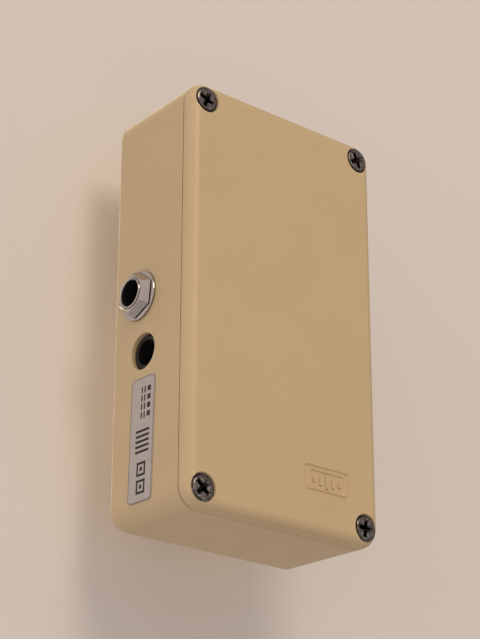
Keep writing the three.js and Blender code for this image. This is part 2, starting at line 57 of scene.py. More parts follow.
ROUND_STEPS = 48  # round an ordinary turned piece
SHARP = math.radians(35)  # a steeper edge is kept crisp
ON_AXIS = 1e-7  # a smaller radius is a point
SQUARE = ((1, 1), (-1, 1), (-1, -1), (1, -1))  # the signs of its corners, anticlockwise

# The housing's shape, in metres, round the CAD nodes' outer faces.
CORNER = 5.4 * MM
COVER_EDGE = 3.0 * MM
TOP_EDGE = 2.3 * MM
DRAFT = 0.46 * MM
WALL = 2.4 * MM
COVER_PLATE = 2.4 * MM
RIM = 0.25 * MM  # the softened edge of a hole
SEAM_EDGE = 0.22 * MM  # the softened edges on both sides of the seam
BOSS = 4.0 * MM  # the radius of a screw post
COVER_PAD = 5 * MM  # the radius of the cover's thick patch at each screw
POWER_HOLE = 4.7 * MM  # the radius of the power inlet's opening
BALANCED_HOLE = 11.2 * MM  # the radius of the three-pin socket's opening


# ---------- places from the frame


def middle(node):
    low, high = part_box(node)
    return (low + high) / 2


def size(node):
    low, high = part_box(node)
    return high - low


BODY_LOW, BODY_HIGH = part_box("enclosure_body")
COVER_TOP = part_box("base_cover")[1].z
HALF_X = BODY_HIGH.x
HALF_Y = BODY_HIGH.y
LEAN = DRAFT / (BODY_HIGH.z - BODY_LOW.z)  # how far a wall leans in for each metre it rises
SEAM_LOW = BODY_LOW.z - 0.2 * MM  # the cover's upper edge


def wall_at(half, z):
    """Half the width between two outer walls at a height."""
    return half - LEAN * (z - BODY_LOW.z)


# ---------- mesh helpers


def new_piece(name, bm):
    """A smooth-shaded object from a bmesh, with its sharp edges kept crisp."""
    bmesh.ops.recalc_face_normals(bm, faces=bm.faces)
    piece = add_object(name, mesh_of(name, bm))
    shade(piece)
    return piece


def mesh_of(name, bm):
    """A mesh from a bmesh, which is used up."""
    mesh = bpy.data.meshes.new(name)
    bm.to_mesh(mesh)
    bm.free()
    return mesh


def add_object(name, data):
    """A new object in the scene that holds a mesh, light or camera."""
    item = bpy.data.objects.new(name, data)
    bpy.context.scene.collection.objects.link(item)
    return item


def shade(piece):
    piece.data.shade_smooth()
    piece.data.set_sharp_from_angle(angle=SHARP)


def even_normals(piece):
    """Large flat faces set the shading, so they stay flat beside small round ones."""
    modifier = piece.modifiers.new("even normals", "WEIGHTED_NORMAL")
    modifier.keep_sharp = True
    modifier.weight = 80


def soften(piece, width, segments=3, angle=40):
    modifier = piece.modifiers.new("soft edges", "BEVEL")
    modifier.width = width
    modifier.segments = segments
    modifier.limit_method = "ANGLE"
    modifier.angle_limit = math.radians(angle)
    modifier.harden_normals = False


def axis_matrix(axis):
    """Turns +Z onto the named axis."""
    target = {"x": Vector((1, 0, 0)), "y": Vector((0, 1, 0)), "z": Vector((0, 0, 1))}
    flip = -1 if axis.startswith("-") else 1
    return (flip * target[axis[-1]]).to_track_quat("Z", "Y").to_matrix().to_4x4()


def turned(profile, axis="z", centre=(0, 0, 0), steps=ROUND_STEPS):
    """A bmesh turned from (radius, place) points, round an axis through the centre."""
    bm = bmesh.new()
    rings = []
    for radius, place in profile:
        if radius < ON_AXIS:
            rings.append([bm.verts.new((0, 0, place))])
            continue
        angles = [2 * math.pi * i / steps for i in range(steps)]
        rings.append(
            [bm.verts.new((radius * math.cos(a), radius * math.sin(a), place)) for a in angles]
        )
    for low, high in zip(rings, rings[1:]):
        bridge(bm, low, high)
    if len(rings[0]) > 1:
        bridge(bm, rings[-1], rings[0])  # a ring-shaped piece closes on itself
    bm.transform(Matrix.Translation(centre) @ axis_matrix(axis))
    return bm


def rod(radius, start, end, axis, centre, steps=ROUND_STEPS):
    """A plain cylinder between two places along an axis."""
    return turned([(0, start), (radius, start), (radius, end), (0, end)], axis, centre, steps)


def bridge(bm, low, high):
    """Faces between two rings, either of which may be a single point."""
    count = max(len(low), len(high))
    if count == 1:
        return
    for i in range(count):
        j = (i + 1) % count
        corners = [low[i % len(low)], low[j % len(low)], high[j % len(high)], high[i % len(high)]]
        bm.faces.new(list(dict.fromkeys(corners)))


def rounded_ring(half_x, half_y, radius, z, steps=10):
    """The corners of a rounded rectangle at a height, anticlockwise."""
    points = []
    for quarter, (sx, sy) in enumerate(SQUARE):
        for i in range(steps + 1):
            angle = (quarter + i / steps) * math.pi / 2
            x = sx * (half_x - radius) + radius * math.cos(angle)
            y = sy * (half_y - radius) + radius * math.sin(angle)
            points.append((x, y, z))
    return points


def loft(rings, closed=False):
    """A bmesh through rings of equally many points, capped, or closed from last to first."""
    bm = bmesh.new()
    loops = [[bm.verts.new(point) for point in ring] for ring in rings]
    for low, high in zip(loops, loops[1:]):
        bridge(bm, low, high)
    if closed:
        bridge(bm, loops[-1], loops[0])
    else:
        bm.faces.new(loops[0])
        bm.faces.new(loops[-1])
    return bm


def quarter_round(edge, steps=8):
    """(inset, drop) pairs of a rounded edge, from the flat end face out to the side."""
    angles = [math.pi / 2 * i / steps for i in range(steps + 1)]
    return [(edge * (1 - math.sin(a)), edge * (1 - math.cos(a))) for a in angles]


def box_mesh(low, high):
    bm = bmesh.new()
    bmesh.ops.create_cube(bm, size=1)
    extent = Vector(high) - Vector(low)
    bmesh.ops.scale(bm, vec=extent, verts=bm.verts)
    bmesh.ops.translate(bm, vec=(Vector(high) + Vector(low)) / 2, verts=bm.verts)
    return bm


def combine(piece, tools, operation):
    """Cuts the tools out of a piece, or joins them to it, and applies the result."""
    tool_objects = [new_piece(f"tool_{i}", bm) for i, bm in enumerate(tools)]
    for tool in tool_objects:
        modifier = piece.modifiers.new("combine", "BOOLEAN")
        modifier.object = tool
        modifier.operation = operation
        modifier.solver = "EXACT"
    graph = bpy.context.evaluated_depsgraph_get()
    mesh = bpy.data.meshes.new_from_object(piece.evaluated_get(graph))
    piece.modifiers.clear()
    piece.data = mesh
    for tool in tool_objects:
        bpy.data.objects.remove(tool)
    shade(piece)


def cut_tool(bm, tools):
    """A bmesh with other bmeshes cut out of it."""
    scratch = new_piece("scratch", bm)
    combine(scratch, tools, "DIFFERENCE")
    result = bmesh.new()
    result.from_mesh(scratch.data)
    bpy.data.objects.remove(scratch)
    return result


def hole(radius, face, deep, axis, centre, rim=RIM, steps=ROUND_STEPS):
    """A cutter for a round hole whose mouth is softened where it meets the outer face."""
    mouth = [(radius + drop, face - inset) for inset, drop in quarter_round(rim, 4)]
    profile = [(0, face - deep), (radius, face - deep), *mouth, (radius + rim, face + MM), (0, face + MM)]
    return turned(profile, axis, centre, steps)


def merged(meshes):
    """One bmesh that holds several separate closed ones."""
    whole = bmesh.new()
    for bm in meshes:
        part = mesh_of("part", bm)
        whole.from_mesh(part)
        bpy.data.meshes.remove(part)
    return whole


# ---------- node helpers


class Nodes:
    """A short way to wire a material's nodes."""

    def __init__(self, name):
        self.material = bpy.data.materials.new(name)
        self.material.use_nodes = True
        self.tree = self.material.node_tree
        self.shader = self.tree.nodes["Principled BSDF"]
        self.output = self.tree.nodes["Material Output"]
        self.place = self.tree.nodes.new("ShaderNodeTexCoord").outputs["Object"]

    def add(self, kind, **settings):
        node = self.tree.nodes.new(kind)
        for key, value in settings.items():
            setattr(node, key, value)
        return node

    def link(self, source, target):
        self.tree.links.new(source, target)

    def colour(self, source):
        self.link(source, self.shader.inputs["Base Color"])

    def roughness(self, source):
        self.link(source, self.shader.inputs["Roughness"])

    def noise(self, scale, detail, roughness=0.5, stretch=None):
        node = self.add("ShaderNodeTexNoise")
        node.inputs["Scale"].default_value = scale
        node.inputs["Detail"].default_value = detail
        node.inputs["Roughness"].default_value = roughness
        source = self.place
        if stretch:
            mapping = self.add("ShaderNodeMapping")
            mapping.inputs["Scale"].default_value = stretch
            self.link(self.place, mapping.inputs["Vector"])
            source = mapping.outputs["Vector"]
        self.link(source, node.inputs["Vector"])
        return node.outputs["Fac"]

    def ramp(self, source, stops):
        node = self.add("ShaderNodeValToRGB")
        elements = node.color_ramp.elements
        while len(elements) < len(stops):
            elements.new(0.5)
        for element, (position, value) in zip(elements, stops):
            element.position = position
            colour = (value, value, value) if isinstance(value, (int, float)) else value
            element.color = (*colour, 1)
        self.link(source, node.inputs["Fac"])
        return node.outputs["Color"]

    def cloud(self, low, high, *noise):
        """A value or colour that drifts between two with a noise of the given settings."""
        return self.ramp(self.noise(*noise), [(0.3, low), (0.7, high)])

    def mix(self, factor, first, second):
        """Mixes two colours or sockets by a factor socket."""
        node = self.add("ShaderNodeMix", data_type="RGBA")
        self.link(factor, node.inputs["Factor"])
        for value, socket in ((first, node.inputs[6]), (second, node.inputs[7])):
            if isinstance(value, bpy.types.NodeSocket):
                self.link(value, socket)
            else:
                socket.default_value = (*value, 1)
        return node.outputs[2]

    def bump(self, *layers):
        """Stacks (height socket, distance in metres) layers into the shader's normal."""
        normal = None
        for height, distance in layers:
            node = self.add("ShaderNodeBump")
            node.inputs["Strength"].default_value = 1.0
            node.inputs["Distance"].default_value = distance
            self.link(height, node.inputs["Height"])
            if normal is not None:
                self.link(normal, node.inputs["Normal"])
            normal = node.outputs["Normal"]
        self.link(normal, self.shader.inputs["Normal"])

    def set(self, **values):
        for key, value in values.items():
            self.shader.inputs[key.replace("_", " ")].default_value = value

    def crevices(self, distance):
        """Near 0 in seams and inner corners, 1 on open faces."""
        node = self.add("ShaderNodeAmbientOcclusion", samples=8)
        node.inputs["Distance"].default_value = distance
        return node.outputs["AO"]


# ---------- materials


def powder_coat():
    """Cream powder coat: fine orange peel, a slightly uneven tone, painted shade in the crevices."""
    n = Nodes("cream_powder_coat")
    cloud = n.ramp(n.noise(45, 4, 0.6), [(0.35, (0.660, 0.512, 0.290)), (0.65, (0.700, 0.550, 0.318))])
    speckle = n.ramp(n.noise(2600, 2), [(0.42, 0.0), (0.62, 1.0)])
    fine = n.mix(speckle, cloud, (0.715, 0.572, 0.345))
    # painted shade: the paint darkens to brown in seams, holes and inner corners, where shade falls
    painted_crevice_shade = n.ramp(n.crevices(0.9 * MM), [(0.12, 1.0), (0.55, 0.0)])
    n.colour(n.mix(painted_crevice_shade, fine, (0.16, 0.09, 0.05)))
    n.roughness(n.cloud(0.40, 0.52, 60, 5, 0.65))
    n.bump((n.noise(1100, 1, 0.4), 0.022 * MM), (n.noise(5200, 2), 0.005 * MM))
    n.set(Coat_Weight=0.12, Coat_Roughness=0.28)
    return n.material


def plated(name, colour, roughness):
    """Bright plate with faint handling marks, and painted shade where two pieces meet."""
    n = Nodes(name)
    tone = n.cloud(tuple(0.86 * c for c in colour), colour, 180, 5, 0.7)
    # painted shade: the plate darkens where it sits close to another piece
    painted_gap_shade = n.ramp(n.crevices(1.6 * MM), [(0.2, 1.0), (0.85, 0.0)])
    n.colour(n.mix(painted_gap_shade, tone, tuple(0.12 * c for c in colour)))
    marks = n.ramp(n.noise(420, 6, 0.75), [(0.35, roughness), (0.75, roughness + 0.1)])
    n.roughness(marks)
    n.bump((n.noise(900, 4, 0.6, (1, 1, 5)), 0.004 * MM))
    n.set(Metallic=1.0)
    return n.material


def brushed(name, colour, stretch):
    """Drawn or cut metal, with its grain across the stretched direction."""
    n = Nodes(name)
    grain = n.noise(900, 3, 0.6, stretch)
    n.colour(n.ramp(grain, [(0.3, tuple(0.8 * c for c in colour)), (0.7, colour)]))
    n.roughness(n.ramp(grain, [(0.3, 0.26), (0.7, 0.42)]))
    n.bump((grain, 0.006 * MM))
    n.set(Metallic=1.0)
    return n.material


def black_zinc():
    """Dark passivated steel, lighter in random rubbed patches that also stand in for glints, with painted
    shade in its gaps.
    """
    n = Nodes("black_zinc")
    cloud = n.cloud((0.13, 0.12, 0.115), (0.26, 0.24, 0.23), 700, 4, 0.6)
    # random pale patches: rubbed wear that also serves as painted glints on the dark steel
    rubbed_and_glint_patches = n.ramp(n.noise(1300, 6, 0.7), [(0.54, 0.0), (0.64, 1.0)])
    wear_and_sheen = n.mix(rubbed_and_glint_patches, cloud, (0.72, 0.69, 0.66))
    # painted shade: near black in the cross recess and round the head, where shade falls
    painted_gap_shade = n.ramp(n.crevices(2.0 * MM), [(0.68, 1.0), (0.95, 0.0)])
    n.colour(n.mix(painted_gap_shade, wear_and_sheen, (0.018, 0.012, 0.010)))
    n.roughness(n.cloud(0.16, 0.32, 1100, 4, 0.6))
    n.bump((n.noise(2400, 4, 0.6), 0.010 * MM))
    n.set(Metallic=1.0)
    return n.material


def moulded(name, colour, roughness, grain=2200, depth=0.006, shine=0.5):
    """Moulded plastic with a fine spark-eroded grain."""
    n = Nodes(name)
    lighter = tuple(min(1.0, 1.25 * c + 0.004) for c in colour)
    n.colour(n.cloud(colour, lighter, 240, 4, 0.6))
    wear_and_sheen = n.ramp(n.noise(130, 5, 0.7), [(0.3, roughness - 0.06), (0.75, roughness + 0.08)])
    n.roughness(wear_and_sheen)
    n.bump((n.noise(grain, 2), depth * MM))
    n.set(Specular_IOR_Level=shine)
    return n.material


def label_film():
    """Satin silver-grey film with a very fine fibre and a few paler scuffs."""
    n = Nodes("label_film")
    fibre = n.noise(1800, 3, 0.6, (1, 0.25, 1))
    base = n.ramp(fibre, [(0.3, (0.53, 0.505, 0.49)), (0.7, (0.59, 0.56, 0.54))])
    scuff = n.ramp(n.noise(260, 6, 0.75), [(0.62, 0.0), (0.74, 1.0)])
    n.colour(n.mix(scuff, base, (0.66, 0.63, 0.61)))
    n.roughness(n.cloud(0.42, 0.56, 320, 4))
    n.bump((fibre, 0.004 * MM))
    n.set(Metallic=0.15)
    return n.material


def lamp_lens():
    n = Nodes("lamp_lens")
    depth = n.cloud((0.50, 0.012, 0.012), (0.66, 0.03, 0.025), 500, 3)
    n.colour(depth)
    n.roughness(n.cloud(0.08, 0.16, 900, 3))
    n.bump((n.noise(700, 2), 0.003 * MM))
    n.set(Transmission_Weight=0.35, IOR=1.49)
    return n.material


def circuit_laminate():
    """Green solder mask over a faint weave, with copper tracks showing through."""
    n = Nodes("circuit_laminate")
    tracks = n.add("ShaderNodeTexBrick", offset=0.37)
    tracks.inputs["Scale"].default_value = 160
    tracks.inputs["Mortar Size"].default_value = 0.03
    n.link(n.place, tracks.inputs["Vector"])
    n.colour(n.mix(tracks.outputs["Fac"], (0.012, 0.10, 0.045), (0.05, 0.22, 0.09)))
    n.roughness(n.cloud(0.30, 0.42, 400, 3))
    n.bump((tracks.outputs["Fac"], 0.02 * MM))
    return n.material


def wound_copper():
    """Enamelled wire laid in turns round the winding."""
    n = Nodes("wound_copper")
    wave = n.add("ShaderNodeTexWave", bands_direction="Z")
    wave.inputs["Scale"].default_value = 900
    n.link(n.place, wave.inputs["Vector"])
    n.colour(n.ramp(wave.outputs["Fac"], [(0.2, (0.16, 0.05, 0.02)), (0.8, (0.50, 0.20, 0.09))]))
    n.roughness(n.cloud(0.25, 0.38, 300, 3))
    n.bump((wave.outputs["Fac"], 0.06 * MM))
    n.set(Metallic=0.8)
    return n.material


def pale_sheet():
    """The plain floor, which is seen from its front only."""
    n = Nodes("pale_sheet")
    n.colour(n.cloud((0.87, 0.86, 0.85), (0.89, 0.88, 0.87), 3, 2))
    n.set(Roughness=0.9, Specular_IOR_Level=0.1)
    clear = n.add("ShaderNodeBsdfTransparent")
    facing = n.add("ShaderNodeNewGeometry")
    either = n.add("ShaderNodeMixShader")
    n.link(facing.outputs["Backfacing"], either.inputs["Fac"])
    n.link(n.shader.outputs["BSDF"], either.inputs[1])
    n.link(clear.outputs["BSDF"], either.inputs[2])
    n.link(either.outputs["Shader"], n.output.inputs["Surface"])
    return n.material


PAINT = powder_coat()
CHROME = plated("bright_nickel", (0.60, 0.58, 0.56), 0.13)
DARK = black_zinc()
BRASS = plated("spring_brass", (0.78, 0.58, 0.27), 0.22)
BLACK = moulded("black_plastic", (0.010, 0.010, 0.011), 0.44, shine=0.3)
BLUE = moulded("blue_plastic", (0.03, 0.10, 0.36), 0.36)
ALUMINIUM = brushed("tumbled_aluminium", (0.62, 0.62, 0.64), (1, 1, 6))
IRON = brushed("lamination_iron", (0.20, 0.20, 0.22), (8, 1, 1))
FILM = label_film()
INK = moulded("printing_ink", (0.010, 0.010, 0.011), 0.55, 3000, 0.002)
WHITE_INLAY = moulded("white_inlay", (0.74, 0.73, 0.70), 0.45)
LENS = lamp_lens()
LAMINATE = circuit_laminate()
COPPER = wound_copper()
SLEEVE = moulded("lead_sleeve", (0.62, 0.58, 0.50), 0.5)


def settle(piece, material, slot, *replaced, body="enclosure"):
    """Gives a finished piece its material and its body, and hides the CAD nodes it stands for. The slot is
    not used.
    """
    piece.data.materials.clear()
    piece.data.materials.append(material)
    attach(piece, body)
    if replaced:
        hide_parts(*replaced)


# ---------- housing


def enclosure_shell():
    ceiling = BODY_HIGH.z - WALL
    rings = [outer_ring(BODY_LOW.z + drop, inset) for inset, drop in quarter_round(SEAM_EDGE, 3)]
    rings += [outer_ring(BODY_HIGH.z - drop, inset) for inset, drop in reversed(quarter_round(TOP_EDGE))]
    shell = new_piece("enclosure_shell", loft(rings))
    inner_x, inner_y = HALF_X - WALL, HALF_Y - WALL
    cavity = loft([
        rounded_ring(inner_x, inner_y, CORNER - WALL, BODY_LOW.z - MM),
        rounded_ring(inner_x, inner_y, CORNER - WALL, ceiling),
    ])
    combine(shell, [cavity], "DIFFERENCE")
    bosses = [rod(BOSS, BODY_LOW.z, ceiling + MM, "z", (x, y, 0)) for x, y in screw_places()]
    combine(shell, bosses, "UNION")
    combine(shell, side_holes() + rear_holes() + top_holes() + pilot_holes(), "DIFFERENCE")
    even_normals(shell)
    settle(shell, PAINT, "paint", "enclosure_body")


def outer_ring(z, inset):
    return rounded_ring(wall_at(HALF_X, z) - inset, wall_at(HALF_Y, z) - inset, CORNER - inset, z)


def screw_places():
    centres = [middle(f"cover_screw_{i}") for i in range(1, 5)]
    return [(c.x, c.y) for c in centres]


def pilot_holes():
    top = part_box("cover_screw_1")[1].z + 3 * MM
    return [rod(1.85 * MM, 0, top, "z", (x, y, 0)) for x, y in screw_places()]


def side_holes():
    jack = middle("input_jack_bushing")
    inlet = middle("dc_inlet_pin")
    face = wall_at(HALF_X, jack.z)
    deep = 2 * WALL
    cutters = [
        hole(size("input_jack_bushing").y / 2 + 0.25 * MM, face, deep, "x", (0, jack.y, jack.z)),
        hole(size("thru_jack_bushing").y / 2 + 0.25 * MM, face, deep, "-x", (0, jack.y, jack.z)),
        hole(POWER_HOLE, wall_at(HALF_X, inlet.z), deep, "x", (0, inlet.y, inlet.z), steps=SMOOTH_STEPS),
    ]
    for slider, frame_node in (("ground_lift_slider", "ground_lift_switch_frame"),
                               ("pad_slider", "pad_switch_frame")):
        centre = middle(frame_node)
        half_y = 3.9 * MM
        half_z = size(slider).z / 2 + 0.4 * MM
        cutters.append(box_mesh((-HALF_X - MM, centre.y - half_y, centre.z - half_z),
                                (-HALF_X + deep, centre.y + half_y, centre.z + half_z)))
    return cutters


def rear_holes():
    mouth = middle("xlr_insert")
    face = wall_at(HALF_Y, mouth.z)
    cutters = [hole(BALANCED_HOLE, face, 2 * WALL, "y", (0, 0, mouth.z), steps=SMOOTH_STEPS)]
    for screw in ("xlr_screw_left", "xlr_screw_right"):
        cutters.append(hole(1.7 * MM, face, 2 * WALL, "y", (middle(screw).x, 0, mouth.z)))
    return cutters


def top_holes():
    openings = [("footswitch_bushing", 6.25), ("level_pot_bushing", 4.25), ("led_bezel", 3.2)]
    return [
        hole(radius * MM, BODY_HIGH.z, 2 * WALL, "z", (0, middle(node).y, 0))
        for node, radius in openings
    ]


def base_cover_plate():
    rings = [rounded_ring(HALF_X - inset, HALF_Y - inset, CORNER - inset, drop)
             for inset, drop in quarter_round(COVER_EDGE, 10)]
    rings += [rounded_ring(HALF_X - inset, HALF_Y - inset, CORNER - inset, SEAM_LOW - drop)
              for inset, drop in reversed(quarter_round(SEAM_EDGE, 3))]
    cover = new_piece("base_cover_plate", loft(rings))
    margin = 2.5 * MM  # leaves room for the lips round the pocket
    reach_x, reach_y = HALF_X - WALL - margin, HALF_Y - WALL - margin
    pocket = box_mesh((-reach_x, -reach_y, COVER_PLATE), (reach_x, reach_y, 10 * MM))
    pads = [rod(COVER_PAD, 0, 12 * MM, "z", (x, y, 0)) for x, y in screw_places()]
    combine(cover, [cut_tool(pocket, pads)], "DIFFERENCE")
    combine(cover, locating_lips(), "UNION")
    combine(cover, countersinks() + badge_relief(), "DIFFERENCE")
    even_normals(cover)
    settle(cover, PAINT, "paint", "base_cover")


def locating_lips():
    thick, clearance = 1.6 * MM, 0.3 * MM
    inner_x, inner_y = HALF_X - WALL - clearance, HALF_Y - WALL - clearance
    x, y = screw_places()[0]
    reach_x, reach_y = x - COVER_PAD, y - COVER_PAD
    low, high = SEAM_LOW - MM, COVER_TOP
    lips = []
    for side in (-1, 1):
        ends = sorted((side * inner_x, side * (inner_x - thick)))
        lips.append(box_mesh((ends[0], -reach_y, low), (ends[1], reach_y, high)))
        ends = sorted((side * inner_y, side * (inner_y - thick)))
        lips.append(box_mesh((-reach_x, ends[0], low), (reach_x, ends[1], high)))
    return lips


def countersinks():
    """Screw holes with a shallow straight mouth, a cone and a softened rim."""
    head, shank, rim = 3.62 * MM, 1.95 * MM, 0.15 * MM
    mouth = [(head + inset, drop) for inset, drop in quarter_round(rim, 4)]
    profile = [(0, -MM), (head + rim, -MM), *mouth, (head, 0.35 * MM), (shank, 2.3 * MM),
               (shank, 8 * MM), (0, 8 * MM)]
    return [turned(profile, "z", (x, y, 0), SMOOTH_STEPS) for x, y in screw_places()]


# The sunk badge on the cover: a plain frame line round a panel with upright bars.
BADGE_X, BADGE_Y = -13 * MM, -42 * MM
BADGE_WIDE, BADGE_HIGH = 15 * MM, 7.1 * MM
BADGE_DEEP = 0.35 * MM
BADGE_LINE = 1.0 * MM
BADGE_TAPER = 0.3 * MM  # how far a sunk wall draws in over that depth


def badge_ring(half_x, half_y, radius, z):
    return [(x + BADGE_X, y + BADGE_Y, z) for x, y, z in rounded_ring(half_x, half_y, radius, z, 4)]


def badge_relief():
    half_x, half_y = BADGE_WIDE / 2, BADGE_HIGH / 2
    line = BADGE_LINE
    levels = ((-BADGE_DEEP, -BADGE_TAPER), (BADGE_DEEP, BADGE_TAPER))
    outer, inner = [], []
    for z, draw in levels:
        outer.append(badge_ring(half_x - draw, half_y - draw, 0.9 * MM, z))
        inner.append(badge_ring(half_x - line + draw, half_y - line + draw, 0.6 * MM, z))
    groove = loft([outer[0], outer[1], inner[1], inner[0]], closed=True)
    panel_x, panel_y = half_x - 1.7 * MM, half_y - 1.2 * MM
    panel = loft([badge_ring(panel_x - draw, panel_y - draw, 0.6 * MM, z) for z, draw in levels])
    return [groove, cut_tool(panel, badge_bars())]


def badge_bars():
    """Five upright bars, tallest in the middle, left standing in the sunk panel."""
    bars = []
    for i, tall in enumerate((1.4, 2.4, 3.4, 2.4, 1.4)):
        x = BADGE_X + (i - 2) * 2.1 * MM
        rings = []
        for z, grow in ((-MM, -0.12 * MM), (BADGE_DEEP + MM, 0.2 * MM)):
            ring = rounded_ring(0.45 * MM + grow, tall * MM / 2 + grow, 0.2 * MM, z, 4)
            rings.append([(px + x, py + BADGE_Y, pz) for px, py, pz in ring])
        bars.append(loft(rings))
    return bars


# ---------- screws and nuts


def cross_recess(width, span, deep, axis, centre, turn):
    """Two tapered arms with a flared mouth and a cone, opening towards -axis at the centre."""
    meshes = []
    flare = 0.22 * width
    levels = ((-flare, width / 2 + 2 * flare, span / 2 + 2 * flare),
              (flare, width / 2, span / 2), (deep, width * 0.32, span * 0.18))
    for quarter in (0, math.pi / 2):
        arm = loft([[(sx * half_s, sy * half_w, z) for sx, sy in SQUARE]
                    for z, half_w, half_s in levels])
        arm.transform(Matrix.Rotation(quarter + turn, 4, "Z"))
        meshes.append(arm)
    cone = turned([(0, -MM), (span * 0.26, -MM), (span * 0.26, 0), (span * 0.1, deep), (0, deep * 1.25)])
    meshes.append(cone)
    for bm in meshes:
        bm.transform(Matrix.Translation(centre) @ axis_matrix(axis))
    return meshes


def cover_screw(index, turn):
    """A countersunk cross-head screw, its head towards -Z, with a turned thread below."""
    node = f"cover_screw_{index}"
    low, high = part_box(node)
    centre = middle(node)
    head = size(node).x / 2
    shank = 1.7 * MM
    # painted shade: the screw's material darkens this ledge, on top of its real shade in the countersink
    step = low.z + 0.36 * MM  # a ledge round the head, dark inside the countersink
    profile = [(0, low.z - 0.04 * MM), (head * 0.5, low.z), (head - 0.7 * MM, low.z + 0.03 * MM),
               (head - 0.5 * MM, low.z + 0.14 * MM), (head - 0.42 * MM, step), (head, step),
               (head, step + 0.06 * MM), (shank, 2.4 * MM)]
    profile += thread(shank, 2.6 * MM, high.z - MM, 0.8 * MM, 0.18 * MM)
    profile += [(shank - 0.7 * MM, high.z), (0, high.z)]
    blank = turned(profile, "z", (centre.x, centre.y, 0), SMOOTH_STEPS)
    screw = new_piece(f"cross_head_screw_{index}", blank)
    recess = cross_recess(1.05 * MM, 4.3 * MM, 1.5 * MM, "z", (centre.x, centre.y, low.z), turn)
    combine(screw, recess, "DIFFERENCE")
    soften(screw, 0.14 * MM, 3)
    even_normals(screw)
    settle(screw, DARK, "dark_steel", node)


def thread(radius, start, end, pitch, deep):
    """(radius, place) points of a row of thread crests."""
    turns = max(1, int((end - start) / pitch))
    step = (end - start) / turns
    points = []
    for i in range(turns):
        place = start + i * step
        points += [(radius, place), (radius, place + 0.15 * step), (radius - deep, place + 0.5 * step),
                   (radius - deep, place + 0.6 * step)]
    return points + [(radius, end)]


def hex_nut(name, node, bore, first_corner):
    """A chamfered hexagon nut in the place of a CAD nut, its crown upwards."""
    low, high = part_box(node)
    corner = max(size(node).x, size(node).y) / 2
    flats = corner * math.sqrt(3)
    base, top = low.z, high.z
    centre = middle(node)
    centre.z = 0
    angles = [first_corner + i * math.pi / 3 for i in range(6)]
    prism = loft([[(corner * math.cos(a), corner * math.sin(a), z) for a in angles]
                  for z in (base, top)])
    prism.transform(Matrix.Translation(centre))
    nut = new_piece(name, prism)
    crown = [(0, base - MM), (corner * 1.1, base - MM), (corner * 1.1, top - 1.0 * MM),
             (corner, top - 0.72 * MM), (flats / 2 + 0.1 * MM, top - 0.22 * MM),
             (flats / 2 - 0.35 * MM, top), (0, top)]
    combine(nut, [turned(crown, "z", centre, SMOOTH_STEPS)], "INTERSECT")
    chamfer = 0.35 * MM
    bore_profile = [(0, base - MM), (bore, base - MM), (bore, top - chamfer),
                    (bore + chamfer, top + 0.01 * MM), (bore + chamfer, top + MM), (0, top + MM)]
    combine(nut, [turned(bore_profile, "z", centre, SMOOTH_STEPS)], "DIFFERENCE")
    soften(nut, 0.12 * MM, 3, 25)
    even_normals(nut)
    settle(nut, CHROME, "chrome", node)


def flat_washer(name, node, axis, bore):
    """A stamped washer: rolled over on one side, with a crisp edge on the other."""
    low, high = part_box(node)
    index = "xyz".index(axis[-1])
    sign = -1 if axis.startswith("-") else 1
    centre = middle(node)
    base = low[index] if sign > 0 else -high[index]
    thick = high[index] - low[index]
    outer = max(size(node)[i] for i in range(3) if i != index) / 2
    centre[index] = 0
    profile = [(bore, base), (outer - 0.08 * MM, base), (outer, base + 0.08 * MM),
               (outer, base + thick * 0.5), (outer - 0.12 * MM, base + thick * 0.82),
               (outer - 0.4 * MM, base + thick), (bore + 0.1 * MM, base + thick),
               (bore, base + thick * 0.8)]
    washer = new_piece(name, turned(profile, axis, centre, SMOOTH_STEPS))
    settle(washer, CHROME, "chrome", node)


# ---------- sockets

NECK = 4.0 * MM  # a jack bushing's radius in front of its nut's thread


def phone_jack(name, axis):
    """The shouldered bushing, washer and dress nut of a quarter-inch jack on a side wall."""
    node = name + "_bushing"
    low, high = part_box(node)
    place = middle(node)
    place.x = 0
    start, end = sorted((abs(low.x), abs(high.x)))
    shoulder = min(abs(edge.x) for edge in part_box(name + "_nut")) + 0.5 * MM
    outer, bore, lining = size(node).y / 2, 3.3 * MM, 0.2 * MM
    profile = [(outer - 0.3 * MM, start), *thread(outer, start + 0.2 * MM, shoulder, 0.55 * MM, 0.16 * MM),
               (NECK, shoulder), (NECK, end - 0.2 * MM), (NECK - 0.06 * MM, end - 0.06 * MM),
               (NECK - 0.2 * MM, end), (bore + lining + 0.15 * MM, end),
               (bore + lining, end - 0.15 * MM), (bore + lining, start)]
    barrel = new_piece(name + "_barrel", turned(profile, axis, place, SMOOTH_STEPS))
    settle(barrel, CHROME, "chrome", node)
    front = end - 0.3 * MM
    profile = [(bore, start), (bore + lining, start), (bore + lining, front), (bore, front)]
    sleeve = new_piece(name + "_bore_lining", turned(profile, axis, place, SMOOTH_STEPS))
    settle(sleeve, BLACK, "black_plastic")
    flat_washer(name + "_flat_washer", name + "_washer", axis, outer + 0.1 * MM)
    dress_nut(name, axis, place, outer + 0.1 * MM, shoulder)


